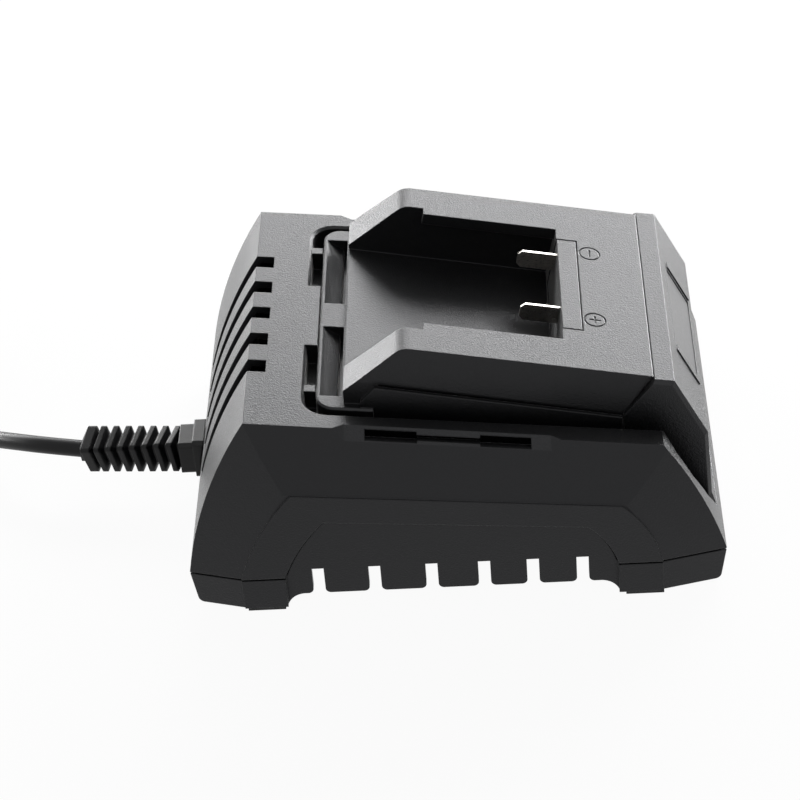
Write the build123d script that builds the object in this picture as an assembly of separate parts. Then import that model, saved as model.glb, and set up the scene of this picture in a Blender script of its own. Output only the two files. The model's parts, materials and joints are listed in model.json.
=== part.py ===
from build123d import *
from math import atan, cos, pi, radians, sin, tan
import os

# Battery charger for slide-on power tool packs: a low two-shell housing with a tilted battery
# dock, a front cover, a power supply inside and a mains lead. Millimetres, +Z up, +X towards
# the front cover, origin under the middle of the housing on the surface it stands on.

# ---------------------------------------------------------------- driving dimensions: housing
HALF_LENGTH = 88.0            # housing half length at the parting line
BODY_HALF_WIDTH = 67.4        # long sides at the parting line
END_HALF_WIDTH = BODY_HALF_WIDTH - 4.8         # where the corner facets reach the end faces
SEAM_Z = 14.0                 # parting line between the two shells
BASE_Z = 1.5                  # underside of the corner blocks
WALL = 2.5
REAR_TOP = (23.3 - HALF_LENGTH, 72.8)   # rear end of the deck, (x, z)
REAR_TOP_HALF_WIDTH = BODY_HALF_WIDTH - 7.4
REAR_MID = (6.9 - HALF_LENGTH, 40.0)      # on the curved rear face
FRONT_TOP = (HALF_LENGTH - 20.1, 56.7)      # front end of the deck
FRONT_TOP_HALF_WIDTH = BODY_HALF_WIDTH - 6.1
FRONT_MID = (HALF_LENGTH - 8.2, 36.0)
END_TAPER = 1.9               # how far the end faces draw in below the parting line
REAR_CORNER_X = 17.4 - HALF_LENGTH         # corner facets start here on the long sides
FRONT_CORNER_X = HALF_LENGTH - 21.1
FACET_BULGE = 0.7
BAND_REAR = (36.4 - HALF_LENGTH, 48.5)     # top corners of the raised arch on each long side, (x, z)
BAND_FRONT = (HALF_LENGTH - 33.9, 38.0)
BAND_PROUD = 0.6
ARCH_FEET_X = (31.7 - HALF_LENGTH, HALF_LENGTH - 35.4)   # inner edge of the arch at the parting line
ARCH_REAR = (46.0 - HALF_LENGTH, 37.0)     # inner top corners of the arch
ARCH_FRONT = (HALF_LENGTH - 45.0, 30.0)
ARCH_BOW = 1.2                # how far the arch legs bow outwards
ARCH_BOW_RISE = 0.6           # share of the bow that lifts its middle
BAND_BOW = 1.9                # the same for the outer edge of the band
SEAM_GAP = 0.7                # visible groove along the parting line
SEAM_GROOVE = 1.2
FIT = 0.15                    # clearance between pieces that slide together

# skirts with ventilation notches
SKIRT_GAP = 0.6
SKIRT_FACE = BODY_HALF_WIDTH - 1.0   # outer face of the skirts, behind the arch
SKIRT_BOTTOM_Z = 5.7
NOTCH_X = (-45.6, -27.1, -8.4, 8.8, 24.7, 40.9)
NOTCH_WIDTH = 4.0
NOTCH_TOP_Z = 16.2
TOOTH_RADIUS = 1.8

# tub, side channels and feet
TUB_HALF_WIDTH = BODY_HALF_WIDTH - 18.4
TUB_FLOOR_Z = 5.0
CHANNEL_ROOF_Z = 17.5
FLOOR = 2.5
SKIRT_END = 6.4               # how far the skirt's lower edge curves down to the corner blocks
SKIRT_END_BEND = (0.35, 1.2)  # the curve's middle: share of that length, and drop
LIP_TOP_Z = 17.5
SHOULDER = 3.0
EDGE_ROUND = 2.0              # lower edges of the end faces
FOOT_LENGTH = 12.4
FOOT_WIDTH = 12.0
FOOT_REAR_X = 24.6 - HALF_LENGTH
FOOT_FRONT_X = HALF_LENGTH - 27.0
FOOT_PLUG = 1.2               # how far a foot is let into the housing
FOOT_PLUG_IN = 2.0
FOOT_CHAMFER = 0.6

# vents and side slots
VENT_PITCH = 14.7
VENT_WIDTH = 6.2
VENT_COUNT = 5
VENT_END_X = 29.2 - HALF_LENGTH
VENT_LOW_Z = 27.0
PANEL_X = (-33.0, 32.3)
PANEL_TIP = 3.9
PANEL_IN = 2.3
PANEL_DROP = 4.0
SIDE_SLOTS_X = ((-26.6, -10.1), (9.9, 26.0))
SIDE_SLOT_DROP = (0.85, 3.6)    # top and bottom of the slots, below the deck
SIDE_SLOT_DEPTH = 6.0
SIDE_GROOVE_DROP = (1.6, 3.0)  # shallow groove between the slots
SIDE_GROOVE_DEPTH = 1.6
SIDE_GROOVE_LAP = 1.0

# ---------------------------------------------------------------- driving dimensions: dock
WELL_REAR_X = 41.8 - HALF_LENGTH   # recess of the upper shell round the dock
WELL_HALF_WIDTH = BODY_HALF_WIDTH - 14.6
WELL_RADIUS = 8.0
WELL_CHAMFER = 0.8            # along the edge of the recess
WELL_DEPTH = 7.5
WELL_FRONT_OVERLAP = 0.6       # past the front end of the deck
WELL_FRONT_LAP = 4.0           # back from there, where the side line takes over
WELL_FRONT_LINE = (            # side of the recess on the front slope, (beyond its half width, z)
    (0.2, 60.0), (0.2, 56.5), (4.2, 50.0), (5.0, 41.0), (1.9, 30.0), (-3.9, 20.5))
DOCK_KNEE = (-11.9, 88.7)     # end of the rails' level top, (x, z)
DOCK_FRAME_REAR_X = WELL_REAR_X + 4.0
DOCK_FRAME_HALF_WIDTH = WELL_HALF_WIDTH - 2.3
DOCK_FRAME_RADIUS = 6.0
DOCK_FRAME_PROUD = 0.4
DOCK_FRAME_LAP = 4.0          # how far it reaches under the plinth
DOCK_FRAME_CHAMFER = 0.6
PLINTH_HALF_WIDTH = WELL_HALF_WIDTH - 3.3
PLINTH_REAR = (-27.8, 70.6)
PLINTH_KNEE = (-22.8, 76.2)
PLINTH_FRONT = (HALF_LENGTH - 32.4, 59.6)
RAIL_OUTER = WELL_HALF_WIDTH - 6.7   # at the top
RAIL_DRAFT = 1.4              # extra half width at the foot of the rails
RAIL_INNER = RAIL_OUTER - 11.5
LIP_INNER = RAIL_INNER - 3.4
WELL_LOW_Z = 44.0             # below the floor of the recess, inside the housing
INSIDE_Z = 30.0               # half way up the inside of the housing
WINDOW_X = (-28.0, HALF_LENGTH - 28.0)   # opening in the floor of the recess
WINDOW_HALF_WIDTH = RAIL_INNER + 0.4
LIP_THICKNESS = 4.0
LIP_START_U = 5.4             # along the dock, from the knee
BAY_DEPTH = 20.0
BAY_END_U = 50.8
RAMP_FOOT = (-17.9, -18.4)    # rear tip of the rails, (along, up) from the knee
RAMP_TOP_U = -1.6
RAMP_RADIUS = 6.0
RAIL_HEIGHT = 14.1            # above the plinth
RAIL_GROOVE = 0.7
DOCK_WALL = 2.5
RAIL_CAVITY = (RAIL_INNER + DOCK_WALL, RAIL_OUTER - 1.9)
COVER_SEAM_TOP = (HALF_LENGTH - 22.3, 72.9)
DOCK_TILT = atan((DOCK_KNEE[1] - COVER_SEAM_TOP[1]) / (COVER_SEAM_TOP[0] - DOCK_KNEE[0]))
COVER_SEAM_FOOT = PLINTH_FRONT
COVER_SEAM_GAP = 0.4

POCKET_X = (DOCK_FRAME_REAR_X + 1.2, DOCK_FRAME_REAR_X + 8.2)
POCKET_Y = (6.6, DOCK_FRAME_HALF_WIDTH - 6.5)
POCKET_SLOT = 1.7
POCKET_SLOT_DEPTH = 6.0
POCKET_SLOPE_DEPTH = 3.0
POCKET_SAG = 0.58             # share of the slope's depth reached at its middle
GAP_Y = (16.8, WELL_HALF_WIDTH - 15.6, WELL_HALF_WIDTH - 12.2)   # seam, open slot and rib at the rear edge
RIB_DROP = 0.9

# terminals
PLATE_LENGTH = 6.3
PLATE_HALF_WIDTH = 25.1
PLATE_GAP = 0.5
PLATE_START_U = 51.0
BLOCK_HEIGHT = 18.0
BLADE_WIDTH = 6.3
BLADE_THICKNESS = 0.9
BLADE_REACH = 13.0
BLADE_TAIL = 3.0
BLADE_DROP = 1.8              # below the dock's top
BLADE_Y = {"positive_blade": -11.5, "negative_blade": 18.8}
BLADE_CHAMFER = 1.4
MARK_U = 61.8
MARK_Y = 18.9
MARK_RADIUS = 3.7
MARK_LINE = 0.5
MARK_DEPTH = 0.4
MARK_STROKE = 3.9

# front cover
COVER_TOP_REAR = (HALF_LENGTH - 22.0, 72.8)
COVER_TOP_FRONT = (HALF_LENGTH - 15.7, 71.8)
COVER_FOLD = (HALF_LENGTH - 5.0, 50.4)
COVER_LOW = (HALF_LENGTH - 3.6, 25.0)
COVER_TIP = (HALF_LENGTH - 2.4, 21.0)
COVER_HALF_WIDTH = WELL_HALF_WIDTH - 4.2
COVER_ROUND = 1.2
LABEL_HALF_WIDTH = 20.8
LABEL_SPAN = (5.4, 21.6)      # down the sloping face, from its top edge
LABEL_RECESS = 0.9
LABEL_THICKNESS = 0.6
LABEL_BAR_Y = (22.0, 25.0)
LABEL_BAR_PROUD = 0.5
PIPE_RADIUS = 1.6
PIPE_Y = 6.0
PIPE_Z = 42.0
PIPE_BAR = (1.2, 2.0)         # bar between the light pipes, (thickness, height)

# indicator board behind the front cover, with its ribbon cable
INDICATOR_X = HALF_LENGTH - 13.8
INDICATOR_THICKNESS = 1.4
INDICATOR_HALF_WIDTH = 13.0
INDICATOR_Z = (36.0, 48.0)
INDICATOR_POST_Y = (-INDICATOR_HALF_WIDTH + 0.5, -INDICATOR_HALF_WIDTH + 3.5)
INDICATOR_POST_HALF_HEIGHT = 3.0
LED_RADIUS = 1.5
LED_LENGTH = 1.8
RIBBON_X = HALF_LENGTH - 25.5
RIBBON_Z = 38.0
RIBBON_HALF_WIDTH = 4.5
RIBBON_THICKNESS = 0.8
RIBBON_BEND = (3.0, 4.0)      # along X and down
RIBBON_SLOT_X = (RIBBON_X - 2.5, INDICATOR_X + 3.8)
RIBBON_SLOT_HALF_HEIGHT = 1.2

# ---------------------------------------------------------------- driving dimensions: inside
BOARD_X = (28.0 - HALF_LENGTH, HALF_LENGTH - 22.0)
BOARD_HALF_WIDTH = TUB_HALF_WIDTH - 9.0
BOARD_THICKNESS = 1.6
BOARD_Z = 11.5                # underside of the circuit board
BOARD_TOP = BOARD_Z + BOARD_THICKNESS
BOARD_SCREW_X = (BOARD_X[0] + 7.0, BOARD_X[1] - 6.0)
BOARD_SCREW_Y = BOARD_HALF_WIDTH - 5.0
BOARD_SCREW_LENGTH = 6.0
RATING_PLATE = (60.0, 40.0, 0.4)

# components: places are shares of the board's length, from the rear, and of its half width
TRANSFORMER_PLACE = (0.54, -0.1)
TRANSFORMER_LENGTH = 36.0
TRANSFORMER_DEPTH = 12.0
TRANSFORMER_HEIGHT = 30.0
TRANSFORMER_LIMB = 7.0
TRANSFORMER_YOKE = 6.0
TRANSFORMER_LEG = 11.0
WINDING_BUILD = 6.5
WINDING_ROUND = 4.0
MAINS_CAPACITOR_PLACE = (0.254, -0.55)
MAINS_CAPACITOR_SIZE = (9.0, 32.0)      # (radius, height)
X_CAPACITOR_PLACE = (0.08, 0.5)
X_CAPACITOR_SIZE = (8.0, 18.0, 14.0)
CHOKE_PLACE = (0.206, 0.55)
CHOKE_RADIUS = 7.0
CHOKE_WIRE_RADIUS = 3.2
FUSE_PLACE = (0.19, -0.9)
FUSE_LENGTH = 20.0
FUSE_RADIUS = 2.6
RECTIFIER_PLACE = (0.381, 0.675)
RECTIFIER_SIZE = (18.0, 4.0, 14.0)
TRANSISTOR_SINK_PLACE = (0.46, -0.775)
DIODE_SINK_PLACE = (0.762, 0.6)
SINK_WIDTH = 26.0
SINK_THICKNESS = 2.4
SINK_FIN = (1.4, 6.0)
SINK_FINS = 5
SINK_PITCH = 6.0
DEVICE_SIZE = (10.0, 4.4, 19.0)
OUTPUT_CAPACITOR_PLACE = (0.742, -0.6)
OUTPUT_CAPACITOR_RADIUS = 5.0
OUTPUT_CAPACITOR_HEIGHT = 20.0
OUTPUT_CAPACITOR_PITCH = 11.5

# screws and their bosses
SCREW_RADIUS = 1.5
SCREW_FIT = 0.1
SCREW_HEAD_RADIUS = 2.9
SCREW_HEAD_HEIGHT = 2.2
BOSS_RADIUS = 4.0
HOUSING_SCREW_X = (14.0 - HALF_LENGTH, HALF_LENGTH - 18.0)
HOUSING_SCREW_Y = BODY_HALF_WIDTH - 17.4
HOUSING_SCREW_SEAT_Z = 9.0
HOUSING_SCREW_LENGTH = 16.0
HOUSING_BOSS_Z = 13.0         # where the bosses of the two shells meet
COUNTERBORE_WALL = 1.8
DOCK_SCREW_X = (-4.0, 46.0)
DOCK_SCREW_Y = RAIL_OUTER - 5.5
DOCK_SCREW_LENGTH = 16.0
DOCK_PAD = 1.2
DOCK_BOSS_RADIUS = 3.5
HOLE_SPARE = 2.0              # depth of a screw hole past the screw's tip

# ---------------------------------------------------------------- driving dimensions: mains lead
CORD_DIAMETER = 6.0
CORD_Z = 16.0
BOOT_ROOT_X = -HALF_LENGTH - 6.6
BOOT_END_X = BOOT_ROOT_X - 35.4
BOOT_WIDTH = 12.0
BOOT_CORE_WIDTH = 7.6
BOOT_LAP = 0.6                 # how far the flange reaches over the boot
FIN_BASE = 8.2
BOOT_ROUND = 1.2
BOOT_TWIST = (5.0, -13.0)     # degrees, at the root and at the end
BOOT_LEAN = (9.0, 8.5)        # degrees, how the fins lean: their near side and their top to the rear
CORD_SLEW = 4.1               # degrees, how far the strain relief leans to the far side
FIN_COUNT = 7
FIN_PITCH = 4.25
FIN_RIM = 1.6
FIN_ROOT = 3.3
CAP_RIM = 2.8
CAP_RISE = 1.0
CAP_TAPER = 1.8
CAP_END = 0.6
CAP_END_WIDTH = 6.8
CAP_SPARE = 2.0                # trimmed square to the cord
COLLAR_WIDTH = 14.5
COLLAR_HEIGHT = 15.6
COLLAR_X = -HALF_LENGTH - 2.2
COLLAR_INNER_X = 4.0 - HALF_LENGTH   # trimmed to the housing's rear face
FLANGE_WIDTH = 13.0
NECK_WIDTH = 9.6
GROMMET_WIDTH = 13.6
GROMMET_X = (3.1 - HALF_LENGTH, 5.5 - HALF_LENGTH)
CLAMP_X = (13.0 - HALF_LENGTH, 19.0 - HALF_LENGTH)
CLAMP_HALF_WIDTH = 12.5
CLAMP_SCREW_Y = 8.5
CLAMP_Z = (15.5, 21.5)
CLAMP_SCREW_LENGTH = 14.0
SADDLE_TOP_Z = 14.0
LEAD_IN_END_X = 24.0 - HALF_LENGTH
LEAD_DIAMETER = 2.2
MAINS_WIRE_ROUTE = (           # from the end of the lead's sheath: (along X, to the side, above it)
    (0.0, 1.4, 0.0),
    (3.0, 1.4, 0.0),
    (7.0, 5.0, 3.0),
    (8.5, 5.4, 1.5),
)
TERMINAL_WIRE_DROP = 0.6       # below the middle of the blade's tail
TERMINAL_WIRE_BEND = (4.0, 0.3, 12.0)   # past the blade, then along X and down
TERMINAL_WIRE_KNEE_Z = 30.0
LEAD_FOOT_X = HALF_LENGTH - 38.0
CORD_ROUTE = (                 # (behind the housing, y, z)
    (55.5, 5.2, 16.2),
    (69.0, 13.0, 12.6),
    (80.0, 22.5, 7.0),
    (87.5, 35.5, 3.0),
    (90.6, 49.3, 3.0),
)
COIL_RADIUS = 33.0            # mean radius of the put-away coil
COIL_COLUMNS = 3
COIL_LAYERS = 2
COIL_CENTRE = (-HALF_LENGTH - 132.5, 71.0)
COIL_STUB = 13.0
BEND_SHARE = 0.45             # share of a run that a bend may take at each end
LAST_TURN_RADIUS = COIL_RADIUS + (COIL_COLUMNS + 1) / 2 * CORD_DIAMETER
LAST_TURN_START = 25.0         # degrees round the coil
LAST_TURN_LAP = 2.0
LAST_TURN_FIT = 0.1
PLUG_X = COIL_CENTRE[0] - LAST_TURN_RADIUS
PLUG_LENGTH = 36.0
PLUG_WIDTH = 26.0
PLUG_HEIGHT = 13.7
PLUG_TAIL = 16.0
PLUG_TAIL_RADII = (5.0, CORD_DIAMETER / 2 + 0.6)
PLUG_CHAMFER = 7.0
PLUG_ROUND = 2.0
PLUG_RUN = 24.0               # cord between the coil and the plug
PIN_RADIUS = 2.0
PIN_LENGTH = 19.0
PIN_SPACING = 18.6
PIN_CHAMFER = 0.8

FAR = 200.0                   # long enough to cut right through the housing
NEAR = 0.01                   # places closer than this are taken as one


# ---------------------------------------------------------------- helpers
def box_between(x0, x1, y0, y1, z0, z1):
    """Box from its limits."""
    centre = ((x0 + x1) / 2, (y0 + y1) / 2, (z0 + z1) / 2)
    return Pos(*centre) * Box(abs(x1 - x0), abs(y1 - y0), abs(z1 - z0))


def slab(z0, z1):
    return box_between(-FAR, FAR, -FAR, FAR, z0, z1)


def xz_prism(face, y0, y1):
    """Extrude a face drawn in (x, z) from y0 to y1."""
    return extrude(Plane(origin=(0, y1, 0), x_dir=(1, 0, 0), z_dir=(0, -1, 0)) * face, y1 - y0)


def cylinder_z(x, y, z0, z1, radius):
    return Pos(x, y, z0) * Cylinder(radius, z1 - z0, align=(Align.CENTER, Align.CENTER, Align.MIN))


def cylinder_x(x0, x1, y, z, radius):
    return Plane(origin=(x0, y, z), z_dir=(1, 0, 0)) * Cylinder(
        radius, x1 - x0, align=(Align.CENTER, Align.CENTER, Align.MIN))


def both_sides(solid):
    return solid + mirror(solid, about=Plane.XZ)


def polygon(*points):
    return make_face(Polyline(*points, close=True))


def route_radii(points):
    """Bend radius for each inner point of a route, as large as the runs beside it allow."""
    radii = []
    for before, here, after in zip(points, points[1:], points[2:]):
        run_in = Vector(*here) - Vector(*before)
        run_out = Vector(*after) - Vector(*here)
        turn = radians(run_in.get_angle(run_out))
        radii.append(BEND_SHARE * min(run_in.length, run_out.length) / tan(turn / 2))
    return radii


def tube(points, diameter):
    """Round cord or wire along straight runs joined by tangent arcs."""
    path = FilletPolyline(*points, radius=route_radii(points))
    start = Plane(origin=path @ 0, z_dir=path % 0)
    return sweep(start * Circle(diameter / 2), path=path), path.length


def export(solid, name):
    export_step(solid, "parts/" + name + ".step")


# ---------------------------------------------------------------- housing envelope
DECK_SLOPE = (REAR_TOP[1] - FRONT_TOP[1]) / (FRONT_TOP[0] - REAR_TOP[0])


def deck_z(x):
    """Height of the sloping deck."""
    return REAR_TOP[1] - DECK_SLOPE * (x - REAR_TOP[0])


def deck_edge_y(x):
    """Where the deck ends on the near side."""
    share = (x - REAR_TOP[0]) / (FRONT_TOP[0] - REAR_TOP[0])
    return -REAR_TOP_HALF_WIDTH - share * (FRONT_TOP_HALF_WIDTH - REAR_TOP_HALF_WIDTH)


def housing_profile(inset):
    """Side view of the whole housing, drawn in (x, z)."""
    rear_seam = (-HALF_LENGTH, SEAM_Z)
    front_seam = (HALF_LENGTH, SEAM_Z)
    rear_foot = (-HALF_LENGTH + END_TAPER, BASE_Z)
    front_foot = (HALF_LENGTH - END_TAPER, BASE_Z)
    edges = ThreePointArc(rear_seam, REAR_MID, REAR_TOP)
    edges += Line(REAR_TOP, FRONT_TOP)
    edges += ThreePointArc(FRONT_TOP, FRONT_MID, front_seam)
    edges += Polyline(front_seam, front_foot, rear_foot, rear_seam)
    face = make_face(edges)
    face = fillet(face.vertices().group_by(Axis.Y)[0], EDGE_ROUND)
    if inset:
        face = offset(face, amount=-inset, kind=Kind.INTERSECTION)
    return face


def facet_cutter(corner_x, end_x, top, top_half_width, inset):
    """What lies outside one corner facet of the near side."""
    corner = Vector(corner_x, -BODY_HALF_WIDTH, 0)
    along = (Vector(end_x, -END_HALF_WIDTH, 0) - corner).normalized()
    outward = Vector(along.Y, -along.X, 0)
    if outward.Y > 0:
        outward = outward * -1
    lean = (Vector(top[0], -top_half_width, 0) - corner).dot(outward)
    middle = (lean / 2 + FACET_BULGE, (SEAM_Z + top[1]) / 2)
    low, high, wide = -FAR / 4, FAR / 2, FAR / 2
    edges = Line((0, low), (0, SEAM_Z)) + ThreePointArc((0, SEAM_Z), middle, (lean, top[1]))
    edges += Polyline((lean, top[1]), (lean, high), (wide, high), (wide, low), (0, low))
    plane = Plane(origin=corner - outward * inset, x_dir=outward, z_dir=outward.cross(Vector(0, 0, 1)))
    return extrude(plane * make_face(edges), FAR / 2, both=True)


def outside_of(p, q, r, inset=0.0):
    """Everything on the near side's outer side of the plane through three points."""
    normal = (q - p).cross(r - p).normalized()
    if normal.Y > 0:
        normal = normal * -1
    plane = Plane(origin=p - normal * inset, x_dir=q - p, z_dir=normal)
    return plane * Box(2 * FAR, 2 * FAR, FAR / 4, align=(Align.CENTER, Align.CENTER, Align.MIN))


def body(inset=0.0):
    """The housing's outer form, or the same form drawn in by a wall."""
    half = BODY_HALF_WIDTH - inset
    block = xz_prism(housing_profile(inset), -half, half)
    upper_corner = Vector(REAR_TOP[0], -REAR_TOP_HALF_WIDTH, REAR_TOP[1])
    arch_rear = Vector(BAND_REAR[0], -BODY_HALF_WIDTH, BAND_REAR[1])
    arch_front = Vector(BAND_FRONT[0], -BODY_HALF_WIDTH, BAND_FRONT[1])
    cutters = [
        facet_cutter(REAR_CORNER_X, -HALF_LENGTH, REAR_TOP, REAR_TOP_HALF_WIDTH, inset),
        facet_cutter(FRONT_CORNER_X, HALF_LENGTH, FRONT_TOP, FRONT_TOP_HALF_WIDTH, inset),
        outside_of(arch_rear, arch_front, upper_corner, inset),
    ]
    for cutter in cutters:
        block -= cutter
        block -= mirror(cutter, about=Plane.XZ)
    return block


def bowed_leg(foot, top, bow):
    """Arch leg from its foot to its top corner, bowed outwards by the given amount."""
    middle_x = (foot[0] + top[0]) / 2
    side = -1 if middle_x < 0 else 1
    return ThreePointArc(foot, (middle_x + side * bow, (foot[1] + top[1]) / 2 + bow * ARCH_BOW_RISE), top)


def arch_face(feet_x, rear_top, front_top, bow, foot_z):
    """Closed outline under an arch line, drawn in (x, z)."""
    rear_foot = (feet_x[0], foot_z)
    front_foot = (feet_x[1], foot_z)
    edges = bowed_leg(rear_foot, rear_top, bow) + Line(rear_top, front_top)
    edges += bowed_leg(front_foot, front_top, bow) + Line(front_foot, rear_foot)
    return make_face(edges)


def between_feet(half_width, z0, z1):
    """Box between the arch's feet, across the whole housing."""
    return box_between(ARCH_FEET_X[0], ARCH_FEET_X[1], -half_width, half_width, z0, z1)


OUTER = body()
INNER = body(WALL)
WELL_FLOOR = body(WELL_DEPTH)
ON_WELL_FLOOR = body(WELL_DEPTH - FIT)


def well_zone(grow):
    """Region of the recess that takes the dock and the front cover."""
    half = WELL_HALF_WIDTH + grow
    rear = WELL_REAR_X - grow
    front = FRONT_TOP[0] + WELL_FRONT_OVERLAP
    plan = Pos((rear + front) / 2, 0) * Rectangle(front - rear, 2 * half)
    zone = extrude(plan, FAR / 2)
    rear_edges = zone.edges().filter_by(Axis.Z).group_by(Axis.X)[0]
    zone = fillet(rear_edges, WELL_RADIUS + grow)
    points = [(half + y, z) for y, z in WELL_FRONT_LINE]
    points[0] = (points[0][0], FAR / 2)
    points[-1] = (points[-1][0], points[-1][1] - grow)
    outline = points + [(-y, z) for y, z in reversed(points)]
    front_zone = extrude(Plane.YZ * polygon(*outline), FAR / 2)
    return zone + (front_zone & box_between(front - WELL_FRONT_LAP, FAR, -FAR, FAR, 0, FAR))


def well_edge_cut():
    """Chamfer along the edge of the recess, square to the sloping deck."""
    slope = atan(DECK_SLOPE)
    deck = Plane(origin=(0, 0, deck_z(0)), x_dir=(cos(slope), 0, -sin(slope)),
                 z_dir=(sin(slope), 0, cos(slope)))
    start = WELL_RADIUS / 2
    rear = WELL_REAR_X / cos(slope) + start
    length = 2 * FRONT_TOP[0] - rear
    width = 2 * (WELL_HALF_WIDTH - start)
    outline = Pos(rear + length / 2, 0) * RectangleRounded(length, width, WELL_RADIUS - start)
    return extrude(deck.offset(-WELL_CHAMFER - start) * outline, 2 * WELL_CHAMFER + start, taper=-45)


def side_panel_cut():
    """Chamfered panel along the near top edge, with its two pointed ends."""

    def at(x, reach):
        y = deck_edge_y(x)
        inner = Vector(x, y + PANEL_IN * reach, deck_z(x))
        lean = (BODY_HALF_WIDTH - REAR_TOP_HALF_WIDTH) / (REAR_TOP[1] - BAND_REAR[1])
        lower = Vector(x, y - PANEL_DROP * reach * lean, deck_z(x) - PANEL_DROP * reach)
        return inner, lower

    inner_rear, lower_rear = at(PANEL_X[0], 1)
    inner_front, lower_front = at(PANEL_X[1], 1)
    tip_rear, _ = at(PANEL_X[0] - PANEL_TIP, 0)
    tip_front, _ = at(PANEL_X[1] + PANEL_TIP, 0)
    cut = outside_of(inner_rear, inner_front, lower_rear)
    cut &= outside_of(inner_rear, lower_rear, tip_rear)
    cut &= outside_of(inner_front, lower_front, tip_front)
    return cut


def side_slot(x0, x1, top, bottom, depth):
    """Cut of a slot that follows the deck's edge on the near side."""
    z0, z1 = deck_z(x0), deck_z(x1)
    outline = polygon((x0, z0 - bottom), (x1, z1 - bottom), (x1, z1 - top), (x0, z0 - top))
    return xz_prism(outline, -FAR / 2, -REAR_TOP_HALF_WIDTH + depth)


def housing_screw_places():
    return [(x, y) for x in HOUSING_SCREW_X for y in (-HOUSING_SCREW_Y, HOUSING_SCREW_Y)]


def dock_screw_places():
    return [(x, y) for x in DOCK_SCREW_X for y in (-DOCK_SCREW_Y, DOCK_SCREW_Y)]


def board_screw_places():
    return [(x, y) for x in BOARD_SCREW_X for y in (-BOARD_SCREW_Y, BOARD_SCREW_Y)]


def dock_pad_z(x):
    """Flat seat for a dock screw, below the floor of the recess."""
    return deck_z(x + BOSS_RADIUS) - WELL_DEPTH - WALL - DOCK_PAD


def cord_opening():
    """Square opening through the rear wall, with room behind it for the grommet."""
    neck = NECK_WIDTH / 2 + FIT
    room = GROMMET_WIDTH / 2 + FIT
    opening = box_between(-FAR, CLAMP_X[0] - 1, -neck, neck, CORD_Z - neck, CORD_Z + neck)
    opening += box_between(GROMMET_X[0] - FIT, GROMMET_X[1] + 2, -room, room, CORD_Z - room, CORD_Z + room)
    return opening


def screw(x, y, seat_z, length, head_below):
    """Pan head screw along Z; the head lies below its seat, or above it."""
    if head_below:
        head = cylinder_z(x, y, seat_z - SCREW_HEAD_HEIGHT, seat_z, SCREW_HEAD_RADIUS)
        return head + cylinder_z(x, y, seat_z, seat_z + length, SCREW_RADIUS)
    head = cylinder_z(x, y, seat_z, seat_z + SCREW_HEAD_HEIGHT, SCREW_HEAD_RADIUS)
    return head + cylinder_z(x, y, seat_z - length, seat_z, SCREW_RADIUS)


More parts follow.
